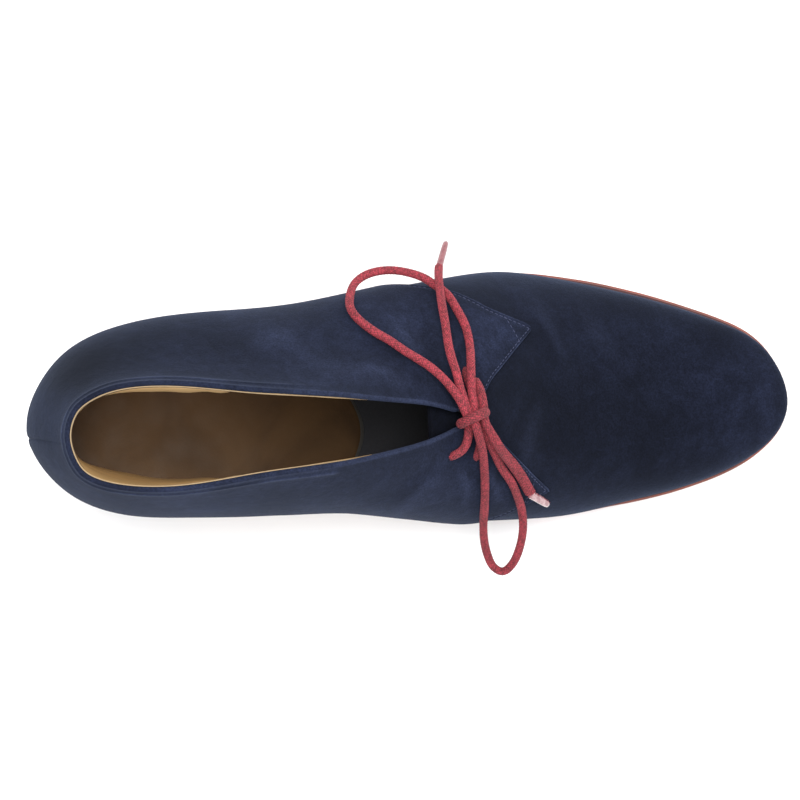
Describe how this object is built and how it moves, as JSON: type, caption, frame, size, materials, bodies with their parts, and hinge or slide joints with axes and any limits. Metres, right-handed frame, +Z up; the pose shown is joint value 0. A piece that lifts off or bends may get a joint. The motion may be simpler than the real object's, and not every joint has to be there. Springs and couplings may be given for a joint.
{
  "type": "heeled ankle boot",
  "caption": "Left low-cut ankle boot in suede with open-fronted quarters laced over the instep, a hollow upper, a leather sole and a stacked block heel.",
  "frame": {"origin": "middle of the boot's box in plan, on the floor that the heel and the forefoot stand on, with the lace's free pieces left out", "axes": "+Z up; the toe points along -Y and the back of the heel along +Y; +X is the outer side of the left foot"},
  "size_m": [0.1122, 0.2538, 0.1305],
  "materials": {
    "navy_suede": "matte",
    "insole_board": "matte",
    "sock_leather": "satin",
    "sole_leather": "satin",
    "stack_leather": "satin",
    "lift_rubber": "matte",
    "lace_cotton": "matte",
    "lace_tip": "gloss"
  },
  "bodies": {
    "root": {"upper": "navy_suede", "quarters": "navy_suede", "tongue": "navy_suede", "insole": "insole_board", "heel_sock": "sock_leather", "outsole": "sole_leather", "heel_stack": "stack_leather", "heel_top_lift": "lift_rubber", "lace_bars": "lace_cotton", "lace_knot": "lace_cotton", "lace_loop_outer": "lace_cotton", "lace_loop_inner": "lace_cotton", "lace_end_outer": "lace_cotton", "lace_end_inner": "lace_cotton", "aglet_outer": "lace_tip", "aglet_inner": "lace_tip"}
  },
  "joints": []
}
